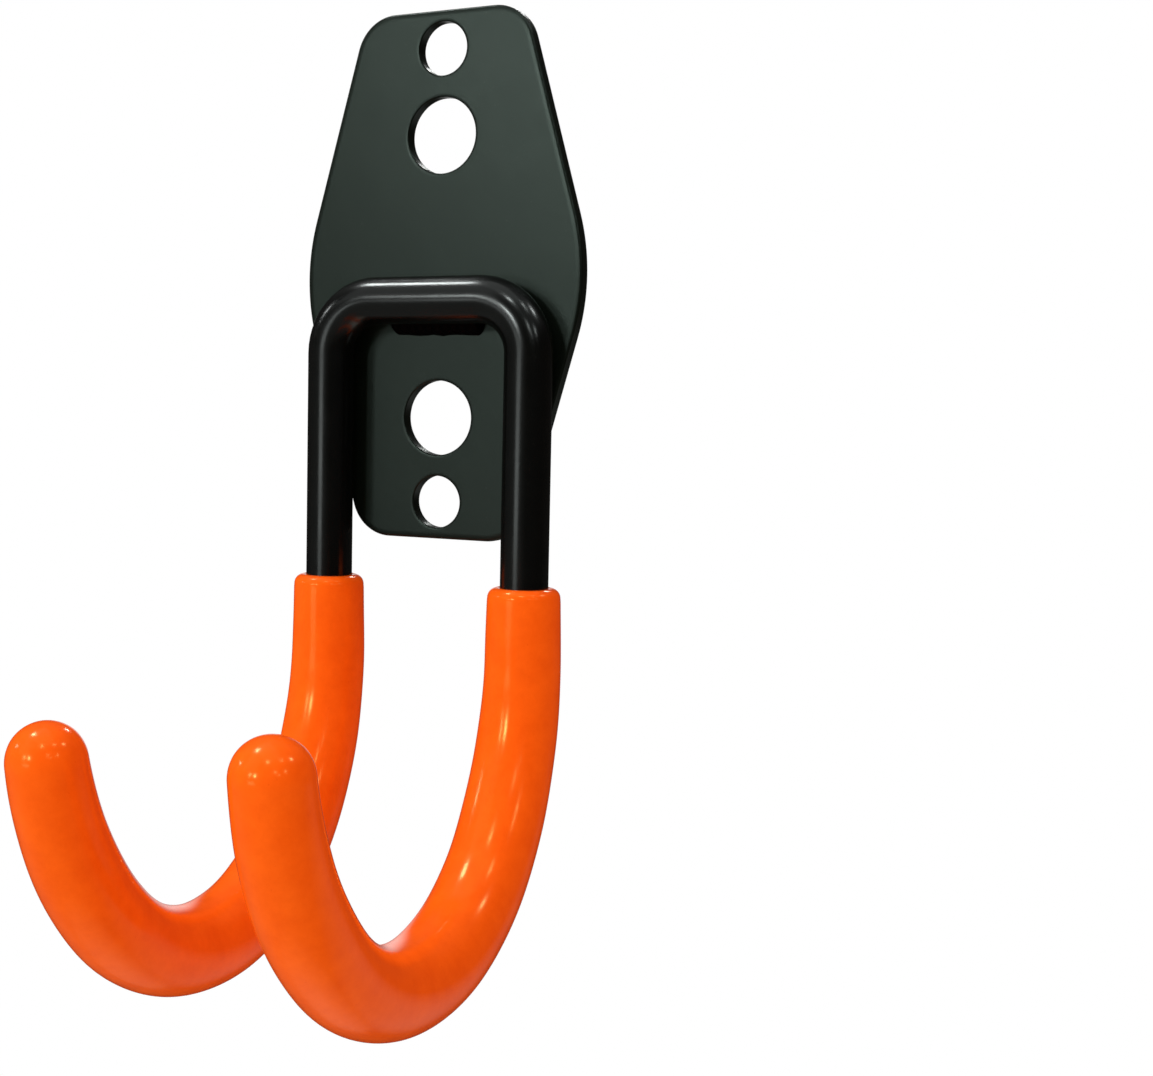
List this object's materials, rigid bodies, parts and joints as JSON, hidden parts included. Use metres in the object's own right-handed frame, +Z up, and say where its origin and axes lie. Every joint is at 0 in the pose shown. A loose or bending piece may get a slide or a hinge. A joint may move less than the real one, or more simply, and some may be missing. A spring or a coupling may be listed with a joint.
{
  "type": "garage utility hook",
  "caption": "Wall hook for garage storage: a drilled steel plate with a bent round rod whose J prongs carry dipped orange vinyl sleeves.",
  "frame": {"origin": "centre of the wall plate's back face, which lies on the wall", "axes": "+Y into the wall, -Y the side where the prongs reach out, +X to the right, +Z up along the plate and the legs"},
  "size_m": [0.0412, 0.0691, 0.1251],
  "materials": {
    "plate_paint": "smooth gloss black paint",
    "rod_paint": "semi-gloss black paint",
    "weld_paint": "semi-gloss black paint over a ripple weld",
    "sleeve_vinyl": "glossy dipped orange vinyl"
  },
  "bodies": {
    "root": {"wall_plate": "plate_paint", "bent_rod": "rod_paint", "weld_bead": "weld_paint", "left_sleeve": "sleeve_vinyl", "right_sleeve": "sleeve_vinyl"}
  },
  "joints": []
}
